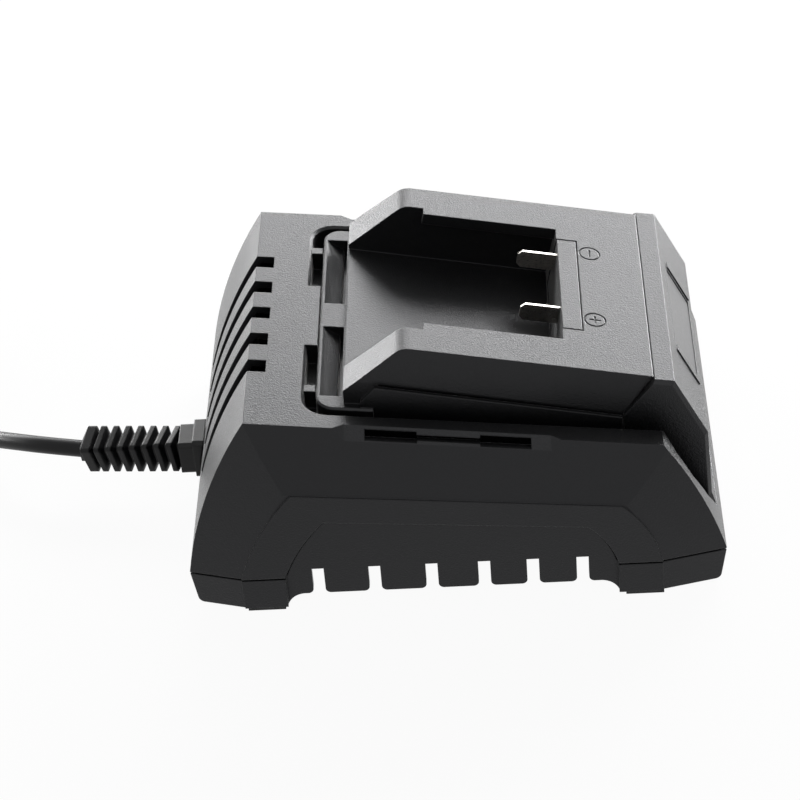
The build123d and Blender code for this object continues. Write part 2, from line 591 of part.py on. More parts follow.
# ---------------------------------------------------------------- upper housing
def upper_housing():
    shell = OUTER & slab(SEAM_Z, FAR / 2)
    band = arch_face((REAR_CORNER_X, FRONT_CORNER_X), BAND_REAR, BAND_FRONT, BAND_BOW, SEAM_Z)
    shell += both_sides(xz_prism(band, -BODY_HALF_WIDTH - BAND_PROUD, -BODY_HALF_WIDTH + WALL))
    well_outside = well_zone(0) - WELL_FLOOR
    well_wall = well_zone(WALL) - body(WELL_DEPTH + WALL)
    cavity = (INNER & slab(0, FAR / 2)) - well_wall
    shell -= cavity
    for x, y in housing_screw_places():
        shell += cylinder_z(x, y, HOUSING_BOSS_Z + FIT, FAR / 2, BOSS_RADIUS) & body(WALL / 2)
    for x, y in dock_screw_places():
        shell += cylinder_z(x, y, dock_pad_z(x), FAR / 2, BOSS_RADIUS) & body(WELL_DEPTH + WALL / 2)
    shell -= well_outside
    shell -= well_edge_cut()
    # bridge and ribs beside the dock's rear edge
    seam_x = DOCK_FRAME_REAR_X - COVER_SEAM_GAP
    bridge_z = deck_z(DOCK_FRAME_REAR_X) - WELL_DEPTH - WALL
    bridge = OUTER & box_between(WELL_REAR_X - WALL, seam_x, -GAP_Y[0], GAP_Y[0], bridge_z, FAR / 2)
    rib = body(RIB_DROP) & box_between(WELL_REAR_X - WALL, seam_x, -GAP_Y[2], -GAP_Y[1], bridge_z, FAR / 2)
    shell += bridge + both_sides(rib)
    # openings
    shell -= box_between(WINDOW_X[0], WINDOW_X[1], -WINDOW_HALF_WIDTH, WINDOW_HALF_WIDTH, INSIDE_Z, FAR / 2)
    arch_opening = arch_face(ARCH_FEET_X, ARCH_REAR, ARCH_FRONT, ARCH_BOW, SEAM_Z)
    shell -= both_sides(xz_prism(arch_opening, -FAR / 2, -BODY_HALF_WIDTH + 2 * WALL))
    for index in range(VENT_COUNT):
        y = (index - (VENT_COUNT - 1) / 2) * VENT_PITCH
        shell -= box_between(-FAR, VENT_END_X, y - VENT_WIDTH / 2, y + VENT_WIDTH / 2, VENT_LOW_Z, FAR / 2)
    shell -= both_sides(side_panel_cut())
    for x0, x1 in SIDE_SLOTS_X:
        shell -= both_sides(side_slot(x0, x1, *SIDE_SLOT_DROP, SIDE_SLOT_DEPTH))
    groove_x = (SIDE_SLOTS_X[0][1] - SIDE_GROOVE_LAP, SIDE_SLOTS_X[1][0] + SIDE_GROOVE_LAP)
    shell -= both_sides(side_slot(*groove_x, *SIDE_GROOVE_DROP, SIDE_GROOVE_DEPTH))
    # screw holes
    hole_top = HOUSING_SCREW_SEAT_Z + HOUSING_SCREW_LENGTH + HOLE_SPARE
    for x, y in housing_screw_places():
        shell -= cylinder_z(x, y, 0, hole_top, SCREW_RADIUS + SCREW_FIT)
    for x, y in dock_screw_places():
        shell -= cylinder_z(x, y, INSIDE_Z, FAR / 2, SCREW_RADIUS + FIT)
    shell -= cord_opening()
    slot_half = RIBBON_HALF_WIDTH + 1
    shell -= box_between(*RIBBON_SLOT_X, -slot_half, slot_half, RIBBON_Z - RIBBON_SLOT_HALF_HEIGHT,
                         RIBBON_Z + RIBBON_SLOT_HALF_HEIGHT)
    return shell


# ---------------------------------------------------------------- lower housing
def skirt_profile():
    """Comb-shaped skirt, drawn in (x, z)."""
    rear, front = ARCH_FEET_X
    top_rear = (ARCH_REAR[0] + SKIRT_GAP, ARCH_REAR[1] - SKIRT_GAP)
    top_front = (ARCH_FRONT[0] - SKIRT_GAP, ARCH_FRONT[1] - SKIRT_GAP)
    top = arch_face((rear + SKIRT_GAP, front - SKIRT_GAP), top_rear, top_front, ARCH_BOW, SEAM_Z)
    ends = (rear + SKIRT_END, front - SKIRT_END)
    bend, bend_z = SKIRT_END_BEND[0] * SKIRT_END, SKIRT_BOTTOM_Z - SKIRT_END_BEND[1]
    edges = ThreePointArc((rear, BASE_Z), (rear + bend, bend_z), (ends[0], SKIRT_BOTTOM_Z))
    edges += Line((ends[0], SKIRT_BOTTOM_Z), (ends[1], SKIRT_BOTTOM_Z))
    edges += ThreePointArc((ends[1], SKIRT_BOTTOM_Z), (front - bend, bend_z), (front, BASE_Z))
    edges += Polyline((front, BASE_Z), (front, SEAM_Z), (rear, SEAM_Z), (rear, BASE_Z))
    face = top + make_face(edges)
    for x in NOTCH_X:
        face -= Pos(x, (NOTCH_TOP_Z + BASE_Z) / 2) * Rectangle(NOTCH_WIDTH, NOTCH_TOP_Z - BASE_Z)
    teeth = [v for v in face.vertices() if abs(v.Y - SKIRT_BOTTOM_Z) < NEAR and min(
        abs(abs(v.X - x) - NOTCH_WIDTH / 2) for x in NOTCH_X) < NEAR]
    return fillet(teeth, TOOTH_RADIUS)


def foot_solid(x, side, grow):
    """One foot: a flush pad and a plug that is let into the corner block."""
    outer_y = side * (BODY_HALF_WIDTH + BAND_PROUD)
    inner_y = side * (BODY_HALF_WIDTH + BAND_PROUD - FOOT_WIDTH)
    half = FOOT_LENGTH / 2
    pad = box_between(x - half, x + half, inner_y, outer_y, 0, BASE_Z)
    pad = chamfer(pad.edges().group_by(Axis.Z)[0], FOOT_CHAMFER)
    step = FOOT_PLUG_IN - grow
    plug = box_between(x - half + step, x + half - step, inner_y + side * step, outer_y - side * step,
                       BASE_Z, BASE_Z + FOOT_PLUG + grow)
    return plug if grow else pad + plug


def foot_places():
    return [(x, side) for x in (FOOT_REAR_X, FOOT_FRONT_X) for side in (-1, 1)]


def lower_housing():
    end_walls = (OUTER & slab(BASE_Z, SEAM_Z)) - INNER - between_feet(FAR, 0, SEAM_Z)
    pads = [box_between(x0, x1, -BODY_HALF_WIDTH - BAND_PROUD, -BODY_HALF_WIDTH + WALL, BASE_Z, SEAM_Z)
            for x0, x1 in ((REAR_CORNER_X, ARCH_FEET_X[0]), (ARCH_FEET_X[1], FRONT_CORNER_X))]
    shell = end_walls + both_sides(pads[0]) + both_sides(pads[1])
    # shoulder and lip that locate the upper shell
    lip_inner = body(2 * WALL)
    ends = slab(0, FAR / 2) - between_feet(FAR, 0, FAR)
    shell += (body(WALL / 2) - lip_inner) & slab(SEAM_Z - SHOULDER, SEAM_Z) & ends
    shell += (body(WALL + FIT) - lip_inner) & slab(SEAM_Z - SHOULDER, LIP_TOP_Z) & ends
    # raised tub between the corner blocks, with a channel along each skirt
    skirt_inner = SKIRT_FACE - WALL
    reach = BODY_HALF_WIDTH - WALL - FIT
    tub = between_feet(TUB_HALF_WIDTH, TUB_FLOOR_Z, TUB_FLOOR_Z + FLOOR)
    tub += both_sides(between_feet(TUB_HALF_WIDTH, TUB_FLOOR_Z, CHANNEL_ROOF_Z) - between_feet(
        TUB_HALF_WIDTH - FLOOR, 0, FAR))
    tub += between_feet(reach, CHANNEL_ROOF_Z, CHANNEL_ROOF_Z + FLOOR) - between_feet(
        TUB_HALF_WIDTH - FLOOR, 0, FAR)
    rear_x, front_x = ARCH_FEET_X
    tub += box_between(rear_x - FLOOR, rear_x, -TUB_HALF_WIDTH, TUB_HALF_WIDTH, BASE_Z, TUB_FLOOR_Z + FLOOR)
    tub += box_between(front_x, front_x + FLOOR, -TUB_HALF_WIDTH, TUB_HALF_WIDTH, BASE_Z, TUB_FLOOR_Z + FLOOR)
    for x0, x1 in ((rear_x - FLOOR, rear_x), (front_x, front_x + FLOOR)):
        web = box_between(x0, x1, -reach, -TUB_HALF_WIDTH + FLOOR, BASE_Z, CHANNEL_ROOF_Z + FLOOR)
        tub += both_sides(web)
    shell += tub
    shell += both_sides(xz_prism(skirt_profile(), -SKIRT_FACE, -skirt_inner))
    # groove along the parting line
    groove = slab(SEAM_Z - SEAM_GAP, SEAM_Z) - body(SEAM_GROOVE) - between_feet(FAR, 0, FAR)
    shell -= groove
    # screw bosses, board standoffs and the cord's saddle
    for x, y in housing_screw_places():
        shell += cylinder_z(x, y, BASE_Z, HOUSING_BOSS_Z, SCREW_HEAD_RADIUS + FIT + COUNTERBORE_WALL)
        shell -= cylinder_z(x, y, 0, HOUSING_SCREW_SEAT_Z, SCREW_HEAD_RADIUS + FIT)
        shell -= cylinder_z(x, y, 0, FAR / 4, SCREW_RADIUS + SCREW_FIT)
    for x, y in board_screw_places():
        floor_z = TUB_FLOOR_Z if rear_x < x < front_x else BASE_Z
        shell += cylinder_z(x, y, floor_z + WALL / 2, BOARD_Z, BOSS_RADIUS)
        shell -= cylinder_z(x, y, floor_z + WALL / 2, FAR / 4, SCREW_RADIUS + SCREW_FIT)
    shell += box_between(*CLAMP_X, -CLAMP_HALF_WIDTH, CLAMP_HALF_WIDTH, BASE_Z + WALL / 2, SADDLE_TOP_Z)
    shell -= cylinder_x(CLAMP_X[0] - 1, CLAMP_X[1] + 1, 0, CORD_Z, CORD_DIAMETER / 2 + FIT)
    for y in (-CLAMP_SCREW_Y, CLAMP_SCREW_Y):
        shell -= cylinder_z(sum(CLAMP_X) / 2, y, BASE_Z + FLOOR, FAR / 4, SCREW_RADIUS + SCREW_FIT)
    for x, side in foot_places():
        shell -= foot_solid(x, side, FIT)
    shell -= cord_opening()
    return shell


# ---------------------------------------------------------------- battery dock
DOCK_COS, DOCK_SIN = cos(DOCK_TILT), sin(DOCK_TILT)


def dock_xz(u, w):
    """Point of the tilted dock, (along, up) from its knee, as (x, z)."""
    return (DOCK_KNEE[0] + u * DOCK_COS + w * DOCK_SIN, DOCK_KNEE[1] - u * DOCK_SIN + w * DOCK_COS)


def dock_prism(face, y0, y1):
    """Extrude a face drawn in the dock's tilted (along, up) frame from y0 to y1."""
    plane = Plane(origin=(DOCK_KNEE[0], y1, DOCK_KNEE[1]), x_dir=(DOCK_COS, 0, -DOCK_SIN), z_dir=(0, -1, 0))
    return extrude(plane * face, y1 - y0)


def dock_box(u0, u1, y0, y1, w0, w1):
    return dock_prism(Pos((u0 + u1) / 2, (w0 + w1) / 2) * Rectangle(u1 - u0, w1 - w0), y0, y1)


def rail_profile():
    """Side view of the rails and of the dock between them, drawn in (x, z)."""
    tip = dock_xz(*RAMP_FOOT)
    knee = dock_xz(RAMP_TOP_U, 0)
    low_z = WELL_LOW_Z
    face = polygon(tip, knee, COVER_SEAM_TOP, COVER_SEAM_FOOT, (COVER_SEAM_FOOT[0], low_z), (tip[0], low_z))
    knee_vertex = min(face.vertices(), key=lambda v: (v.X - knee[0]) ** 2 + (v.Y - knee[1]) ** 2)
    return fillet(knee_vertex, RAMP_RADIUS)



def battery_dock():
    rail_face = rail_profile()
    foot_half = RAIL_OUTER + RAIL_DRAFT
    core = xz_prism(rail_face, -foot_half, foot_half)
    knee = (DOCK_KNEE[0], 0, DOCK_KNEE[1])
    draft_plane = Plane(origin=knee, x_dir=(0, 1, 0), z_dir=(DOCK_COS, 0, -DOCK_SIN))
    draft = polygon((-RAIL_OUTER, WALL), (-RAIL_OUTER, 0), (-foot_half, -RAIL_HEIGHT), (-FAR, -RAIL_HEIGHT),
                    (-FAR, WALL))
    core -= both_sides(extrude(draft_plane * draft, FAR, both=True))
    # plinth and rear frame
    plinth = polygon((PLINTH_REAR[0], WELL_LOW_Z), PLINTH_REAR, PLINTH_KNEE, PLINTH_FRONT,
                     (PLINTH_FRONT[0], WELL_LOW_Z))
    core += xz_prism(plinth, -PLINTH_HALF_WIDTH, PLINTH_HALF_WIDTH)
    frame_front = PLINTH_REAR[0] + DOCK_FRAME_LAP
    frame_plan = Pos((DOCK_FRAME_REAR_X + frame_front) / 2, 0) * Rectangle(
        frame_front - DOCK_FRAME_REAR_X, 2 * DOCK_FRAME_HALF_WIDTH)
    frame = extrude(frame_plan, FAR / 2)
    frame = fillet(frame.edges().filter_by(Axis.Z).group_by(Axis.X)[0], DOCK_FRAME_RADIUS)
    frame -= slab(0, WELL_LOW_Z)
    rear_z, front_z = (deck_z(x) + DOCK_FRAME_PROUD for x in (-FAR, FAR))
    frame &= xz_prism(polygon((-FAR, 0), (-FAR, rear_z), (FAR, front_z), (FAR, 0)), -FAR, FAR)
    core += chamfer(frame_rim(frame, frame_front), DOCK_FRAME_CHAMFER)
    # bay for the battery's foot, open at the rear, with a lip over each side
    core -= dock_box(-FAR / 2, BAY_END_U, -RAIL_INNER, RAIL_INNER, -BAY_DEPTH, FAR / 4)
    lip = dock_box(LIP_START_U, BAY_END_U + 1, -RAIL_INNER - 1, -LIP_INNER, -LIP_THICKNESS, 0)
    core += both_sides(lip & xz_prism(rail_face, -RAIL_OUTER, RAIL_OUTER))
    # groove at the foot of each rail
    groove = dock_box(-FAR, FAR, -foot_half - RAIL_GROOVE, -foot_half, -RAIL_HEIGHT - 3 * RAIL_GROOVE, 0)
    core -= both_sides(groove) & box_between(PLINTH_KNEE[0] + 1, FAR, -FAR, FAR, 0, FAR)
    # hollow underside
    inner_face = offset(rail_face, amount=-DOCK_WALL, kind=Kind.INTERSECTION)
    boss_limit = offset(rail_face, amount=-DOCK_WALL / 2, kind=Kind.INTERSECTION)
    rear_x = dock_xz(*RAMP_FOOT)[0] + DOCK_WALL
    under = dock_box(-FAR / 2, FAR / 2, -RAIL_CAVITY[1], RAIL_CAVITY[1], -FAR / 2, -BAY_DEPTH - DOCK_WALL)
    under &= box_between(rear_x, COVER_SEAM_FOOT[0] - DOCK_WALL, -FAR, FAR, 0, FAR)
    core -= under
    core -= both_sides(xz_prism(inner_face, -RAIL_CAVITY[1], -RAIL_CAVITY[0]))
    block_end = PLATE_START_U + PLATE_LENGTH + PLATE_GAP
    core -= xz_prism(inner_face, -RAIL_INNER, RAIL_INNER) & dock_box(block_end, FAR, -FAR, FAR, -FAR, FAR)
    # seat of the terminal block
    half = PLATE_HALF_WIDTH + PLATE_GAP
    core -= dock_box(BAY_END_U - 1, block_end, -half, half, -BLOCK_HEIGHT - FIT, FAR / 4)
    # latch pockets in the rear frame
    for side in (-1, 1):
        core -= latch_pocket(side)
    # engraved terminal marks
    for y, strokes in ((MARK_Y, 1), (-MARK_Y, 2)):
        core -= terminal_mark(y, strokes)
    # screw bosses
    for x, y in dock_screw_places():
        core += cylinder_z(x, y, WELL_LOW_Z, FAR, DOCK_BOSS_RADIUS) & xz_prism(boss_limit, -FAR, FAR)
        hole_top = dock_pad_z(x) + DOCK_SCREW_LENGTH + HOLE_SPARE
        core -= cylinder_z(x, y, 0, hole_top, SCREW_RADIUS + SCREW_FIT)
    return core - ON_WELL_FLOOR


def frame_rim(frame, front_x):
    """Top edges of the rear frame, without the one at its front."""

    def on_rim(point):
        return abs(point.Z - deck_z(point.X) - DOCK_FRAME_PROUD) < NEAR and point.X < front_x - NEAR

    return [e for e in frame.edges() if on_rim(e @ 0.3) and on_rim(e @ 0.7)]


def latch_pocket(side):
    """Scooped pocket with a deep slot at its front, one on each side of the frame's middle."""
    x0, x1 = POCKET_X
    slot_x = x1 - POCKET_SLOT
    top = deck_z(x0) + DOCK_FRAME_PROUD
    middle = ((x0 + slot_x) / 2, deck_z((x0 + slot_x) / 2) - POCKET_SAG * POCKET_SLOPE_DEPTH)
    floor_z = deck_z(slot_x) - POCKET_SLOPE_DEPTH
    edges = ThreePointArc((x0, top), middle, (slot_x, floor_z))
    edges += Polyline((slot_x, floor_z), (slot_x, deck_z(slot_x) - POCKET_SLOT_DEPTH),
                      (x1, deck_z(slot_x) - POCKET_SLOT_DEPTH), (x1, top + 2), (x0, top + 2), (x0, top))
    y0, y1 = sorted((side * POCKET_Y[0], side * POCKET_Y[1]))
    return xz_prism(make_face(edges), y0, y1)


def terminal_mark(y, strokes):
    """Engraved circle with a minus or a plus sign."""
    ring = Circle(MARK_RADIUS) - Circle(MARK_RADIUS - MARK_LINE)
    ring += Rectangle(MARK_LINE, MARK_STROKE)
    if strokes == 2:
        ring += Rectangle(MARK_STROKE, MARK_LINE)
    x, z = dock_xz(MARK_U, -MARK_DEPTH)
    plane = Plane(origin=(x, y, z), x_dir=(DOCK_COS, 0, -DOCK_SIN), z_dir=(DOCK_SIN, 0, DOCK_COS))
    return extrude(plane * ring, WALL)


def terminal_block():
    end = PLATE_START_U + PLATE_LENGTH
    block = dock_box(PLATE_START_U, end, -PLATE_HALF_WIDTH, PLATE_HALF_WIDTH, -BLOCK_HEIGHT, 0)
    for y in BLADE_Y.values():
        block -= blade_slab(y, SCREW_FIT)
    return block


def blade_slab(y, grow):
    """Rectangular bar of a blade, grown by a clearance where it cuts its slot."""
    half = BLADE_WIDTH / 2 + grow
    u0 = PLATE_START_U - BLADE_REACH
    u1 = PLATE_START_U + PLATE_LENGTH + BLADE_TAIL
    return dock_box(u0, u1, y - BLADE_THICKNESS / 2 - grow, y + BLADE_THICKNESS / 2 + grow,
                    -BLADE_DROP - BLADE_WIDTH / 2 - half, -BLADE_DROP - BLADE_WIDTH / 2 + half)


def blade(y):
    """Upright contact blade with a bevelled tip."""
    u0 = PLATE_START_U - BLADE_REACH
    u1 = PLATE_START_U + PLATE_LENGTH + BLADE_TAIL
    root = PLATE_START_U + PLATE_LENGTH
    top, low = -BLADE_DROP, -BLADE_DROP - BLADE_WIDTH
    tail_top = min(top, -DOCK_WALL - PLATE_GAP)
    cut = BLADE_CHAMFER
    face = polygon((u0, low + cut), (u0, top - cut), (u0 + cut, top), (root, top), (root, tail_top),
                   (u1, tail_top), (u1, low), (u0 + cut, low))
    return dock_prism(face, y - BLADE_THICKNESS / 2, y + BLADE_THICKNESS / 2)


# ---------------------------------------------------------------- front cover
def cover_face():
    """Side view of the front cover, drawn in (x, z)."""
    gap = COVER_SEAM_GAP
    return polygon((COVER_SEAM_TOP[0] + gap, COVER_TOP_REAR[1]), COVER_TOP_FRONT, COVER_FOLD, COVER_LOW,
                   COVER_TIP, (WINDOW_X[1] + 2, COVER_TIP[1]), (COVER_SEAM_FOOT[0] + gap, WELL_LOW_Z),
                   (COVER_SEAM_FOOT[0] + gap, COVER_SEAM_FOOT[1]))


SLOPE = Vector(COVER_FOLD[0] - COVER_TOP_FRONT[0], 0, COVER_FOLD[1] - COVER_TOP_FRONT[1]).normalized()


def slope_box(s0, s1, y0, y1, n0, n1):
    """Box in the frame of the cover's sloping face: down the slope, across, and outwards."""
    plane = Plane(origin=(COVER_TOP_FRONT[0], y1, COVER_TOP_FRONT[1]), x_dir=SLOPE, z_dir=(0, -1, 0))
    return extrude(plane * (Pos((s0 + s1) / 2, (n0 + n1) / 2) * Rectangle(s1 - s0, n1 - n0)), y1 - y0)


def front_cover():
    face = cover_face()
    cover = xz_prism(face, -COVER_HALF_WIDTH, COVER_HALF_WIDTH)
    side_edges = [e for e in cover.edges() if abs(abs(e.center().Y) - COVER_HALF_WIDTH) < NEAR
                  and e.center().X > COVER_TOP_REAR[0] and e.center().Z > COVER_TIP[1] + 1]
    cover = chamfer(side_edges, COVER_ROUND)
    inner = offset(face, amount=-WALL, kind=Kind.INTERSECTION)
    cover -= xz_prism(inner, -COVER_HALF_WIDTH + WALL, COVER_HALF_WIDTH - WALL)
    cover -= ON_WELL_FLOOR
    s0, s1 = LABEL_SPAN
    cover -= slope_box(s0, s1, -LABEL_HALF_WIDTH, LABEL_HALF_WIDTH, -LABEL_RECESS, 2 * WALL)
    cover += both_sides(slope_box(s0, s1, -LABEL_BAR_Y[1], -LABEL_BAR_Y[0], -WALL / 2, LABEL_BAR_PROUD))
    for y in (-PIPE_Y, PIPE_Y):
        cover -= cylinder_x(INDICATOR_X + 2, FAR, y, PIPE_Z, PIPE_RADIUS + SCREW_FIT)
    post = box_between(INDICATOR_X + INDICATOR_THICKNESS, COVER_FOLD[0] - WALL / 2, *INDICATOR_POST_Y,
                       PIPE_Z - INDICATOR_POST_HALF_HEIGHT, PIPE_Z + INDICATOR_POST_HALF_HEIGHT)
    return cover + both_sides(post)


def label_plate():
    s0, s1 = LABEL_SPAN
    half = LABEL_HALF_WIDTH - FIT
    return slope_box(s0 + FIT, s1 - FIT, -half, half, -LABEL_RECESS, -LABEL_RECESS + LABEL_THICKNESS)


def indicator_board():
    front = INDICATOR_X + INDICATOR_THICKNESS
    return box_between(INDICATOR_X, front, -INDICATOR_HALF_WIDTH, INDICATOR_HALF_WIDTH, *INDICATOR_Z)


def indicator_leds():
    x = INDICATOR_X + INDICATOR_THICKNESS
    return [cylinder_x(x, x + LED_LENGTH, y, PIPE_Z, LED_RADIUS) for y in (-PIPE_Y, PIPE_Y)]


def light_pipe():
    x0 = INDICATOR_X + INDICATOR_THICKNESS + LED_LENGTH + FIT
    share = (COVER_FOLD[1] - PIPE_Z) / (COVER_FOLD[1] - COVER_LOW[1])
    face_x = COVER_FOLD[0] + share * (COVER_LOW[0] - COVER_FOLD[0])
    rods = [cylinder_x(x0, face_x, y, PIPE_Z, PIPE_RADIUS) for y in (-PIPE_Y, PIPE_Y)]
    thickness, height = PIPE_BAR
    bar = box_between(x0, x0 + thickness, -PIPE_Y, PIPE_Y, PIPE_Z - height / 2, PIPE_Z + height / 2)
    return rods[0] + rods[1] + bar


def indicator_ribbon():
    bend_x, bend_z = RIBBON_BEND
    line = Polyline((INDICATOR_X, RIBBON_Z), (RIBBON_X + bend_x, RIBBON_Z), (RIBBON_X, RIBBON_Z - bend_z),
                    (RIBBON_X, BOARD_TOP))
    return xz_prism(trace(line, line_width=RIBBON_THICKNESS), -RIBBON_HALF_WIDTH, RIBBON_HALF_WIDTH)


# ---------------------------------------------------------------- circuit board and its parts
def circuit_board():
    board = box_between(BOARD_X[0], BOARD_X[1], -BOARD_HALF_WIDTH, BOARD_HALF_WIDTH, BOARD_Z, BOARD_TOP)
    for x, y in board_screw_places():
        board -= cylinder_z(x, y, 0, FAR / 4, SCREW_RADIUS + FIT)
    return board


def on_board(place):
    """Place on the circuit board, given as shares of its length and of its half width."""
    return BOARD_X[0] + place[0] * (BOARD_X[1] - BOARD_X[0]), place[1] * BOARD_HALF_WIDTH


def standing(x, y, length, width, height):
    """Box-shaped component that stands on the board."""
    return Pos(x, y, BOARD_TOP + height / 2) * Box(length, width, height)


def standing_cylinder(x, y, radius, height):
    return cylinder_z(x, y, BOARD_TOP, BOARD_TOP + height, radius)


def transformer_core():
    x, y = on_board(TRANSFORMER_PLACE)
    core = standing(x, y, TRANSFORMER_LENGTH, TRANSFORMER_DEPTH, TRANSFORMER_HEIGHT)
    for side in (-1, 1):
        x0 = x + side * TRANSFORMER_LEG / 2
        x1 = x + side * (TRANSFORMER_LENGTH / 2 - TRANSFORMER_LIMB)
        core -= box_between(x0, x1, -FAR, FAR, BOARD_TOP + TRANSFORMER_YOKE,
                            BOARD_TOP + TRANSFORMER_HEIGHT - TRANSFORMER_YOKE)
    return core


def transformer_winding():
    x, y = on_board(TRANSFORMER_PLACE)
    width = TRANSFORMER_LENGTH - 2 * TRANSFORMER_LIMB - 2 * SCREW_FIT
    plan = RectangleRounded(width, TRANSFORMER_DEPTH + 2 * WINDING_BUILD, WINDING_ROUND)
    plan -= Rectangle(TRANSFORMER_LEG + 2 * SCREW_FIT, TRANSFORMER_DEPTH + 2 * SCREW_FIT)
    floor = Plane(origin=(x, y, BOARD_TOP + TRANSFORMER_YOKE + SCREW_FIT))
    return extrude(floor * plan, TRANSFORMER_HEIGHT - 2 * TRANSFORMER_YOKE - 2 * SCREW_FIT)


def common_mode_choke():
    x, y = on_board(CHOKE_PLACE)
    return Pos(x, y, BOARD_TOP + CHOKE_WIRE_RADIUS) * Torus(CHOKE_RADIUS, CHOKE_WIRE_RADIUS)


def mains_fuse():
    x, y = on_board(FUSE_PLACE)
    return cylinder_x(x - FUSE_LENGTH / 2, x + FUSE_LENGTH / 2, y, BOARD_TOP + FUSE_RADIUS, FUSE_RADIUS)


def output_capacitors():
    x, y = on_board(OUTPUT_CAPACITOR_PLACE)
    places = [(x + index * OUTPUT_CAPACITOR_PITCH, y) for index in (-1, 0, 1)]
    return [standing_cylinder(*place, OUTPUT_CAPACITOR_RADIUS, OUTPUT_CAPACITOR_HEIGHT) for place in places]


def heat_sink(place):
    """Finned aluminium plate that stands on the board."""
    x, y = on_board(place)
    sink = standing(x, y, SINK_WIDTH, SINK_THICKNESS, SINK_WIDTH)
    for index in range(SINK_FINS):
        fin_x = x + (index - (SINK_FINS - 1) / 2) * SINK_PITCH
        sink += standing(fin_x, y + SINK_THICKNESS / 2 + SINK_FIN[1] / 2, *SINK_FIN, SINK_WIDTH)
    return sink


def power_device(place):
    """Flat power semiconductor against the plain face of its heat sink."""
    x, y = on_board(place)
    return standing(x, y - (SINK_THICKNESS + DEVICE_SIZE[1]) / 2, *DEVICE_SIZE)


def rating_plate():
    length, width, thickness = RATING_PLATE
    return box_between(-length / 2, length / 2, -width / 2, width / 2, TUB_FLOOR_Z - thickness, TUB_FLOOR_Z)


# ---------------------------------------------------------------- cord, strain relief and plug
BOOT_FRAME = Pos(BOOT_ROOT_X, 0, CORD_Z) * Rot(0, 0, -CORD_SLEW)


def boot_section(distance, width, middle):
    """Square section of the strain relief, turned as the boot is at the given middle."""
    share = middle / (BOOT_ROOT_X - BOOT_END_X)
    twist = BOOT_TWIST[0] + share * (BOOT_TWIST[1] - BOOT_TWIST[0])
    near, top = (tan(radians(angle)) for angle in BOOT_LEAN)
    plane = Plane(origin=(-distance, 0, 0), x_dir=(0, 1, 0), z_dir=(-1, near, -top))
    return BOOT_FRAME * (plane * (Rot(0, 0, twist) * RectangleRounded(width, width, BOOT_ROUND)))


def behind(x, y, z):
    """Point given by its distance behind the housing."""
    return (-HALF_LENGTH - x, y, z)


def boot_tip():
    """Where the cord leaves the strain relief."""
    return (BOOT_FRAME * Pos(BOOT_END_X - BOOT_ROOT_X, 0, 0)).position


def strain_relief():
    cap_start = BOOT_ROOT_X - BOOT_END_X - CAP_END - CAP_TAPER - CAP_RIM
    relief = Part()
    for index in range(FIN_COUNT + 1):
        middle = FIN_PITCH * index
        ends = (middle - FIN_PITCH / 2, middle + FIN_PITCH / 2)
        relief += loft([boot_section(end, BOOT_CORE_WIDTH, middle) for end in ends], ruled=True)
    for index in range(FIN_COUNT):
        middle = FIN_PITCH * (index + 0.5)
        steps = ((-FIN_ROOT, FIN_BASE), (-FIN_RIM, BOOT_WIDTH), (FIN_RIM, BOOT_WIDTH), (FIN_ROOT, FIN_BASE))
        relief += loft([boot_section(middle + step / 2, width, middle) for step, width in steps], ruled=True)
    cap_end = cap_start + CAP_RIM + CAP_TAPER
    cap = ((cap_start - CAP_RISE, FIN_BASE), (cap_start, BOOT_WIDTH), (cap_start + CAP_RIM, BOOT_WIDTH),
           (cap_end, CAP_END_WIDTH), (cap_end + CAP_END + CAP_SPARE, CAP_END_WIDTH))
    relief += loft([boot_section(distance, width, cap_start) for distance, width in cap], ruled=True)
    half = FLANGE_WIDTH / 2
    flange = box_between(BOOT_ROOT_X - BOOT_LAP, COLLAR_X, -half, half, CORD_Z - half, CORD_Z + half)
    relief += chamfer(flange.edges().filter_by(Axis.X), BOOT_ROUND)
    collar_y, collar_z = COLLAR_WIDTH / 2, COLLAR_HEIGHT / 2
    collar = box_between(COLLAR_X, COLLAR_INNER_X, -collar_y, collar_y, CORD_Z - collar_z, CORD_Z + collar_z)
    collar = chamfer(collar.edges().filter_by(Axis.X), BOOT_ROUND)
    relief += collar - OUTER.moved(Location((-FIT, 0, 0)))
    tip = boot_tip()
    past = Plane(origin=tip, z_dir=Vector(*behind(*CORD_ROUTE[0])) - tip)
    relief -= past * Box(FAR, FAR, FAR, align=(Align.CENTER, Align.CENTER, Align.MIN))
    neck = NECK_WIDTH / 2
    relief += box_between(COLLAR_X, GROMMET_X[0], -neck, neck, CORD_Z - neck, CORD_Z + neck)
    grommet = GROMMET_WIDTH / 2
    relief += box_between(GROMMET_X[0], GROMMET_X[1], -grommet, grommet, CORD_Z - grommet, CORD_Z + grommet)
    return relief


def cord_clamp():
    clamp = box_between(CLAMP_X[0], CLAMP_X[1], -CLAMP_HALF_WIDTH, CLAMP_HALF_WIDTH, *CLAMP_Z)
    clamp -= cylinder_x(CLAMP_X[0] - 1, CLAMP_X[1] + 1, 0, CORD_Z, CORD_DIAMETER / 2 + FIT)
    for y in (-CLAMP_SCREW_Y, CLAMP_SCREW_Y):
        clamp -= cylinder_z(sum(CLAMP_X) / 2, y, 0, FAR / 4, SCREW_RADIUS + SCREW_FIT)
    return clamp


def mains_wire(side):
    """Insulated wire from the end of the lead's sheath to the circuit board."""
    points = [(LEAD_IN_END_X + x, side * y, CORD_Z + z) for x, y, z in MAINS_WIRE_ROUTE]
    foot_x, foot_y, _ = points[-1]
    return tube(points + [(foot_x, foot_y, BOARD_TOP)], LEAD_DIAMETER)[0]


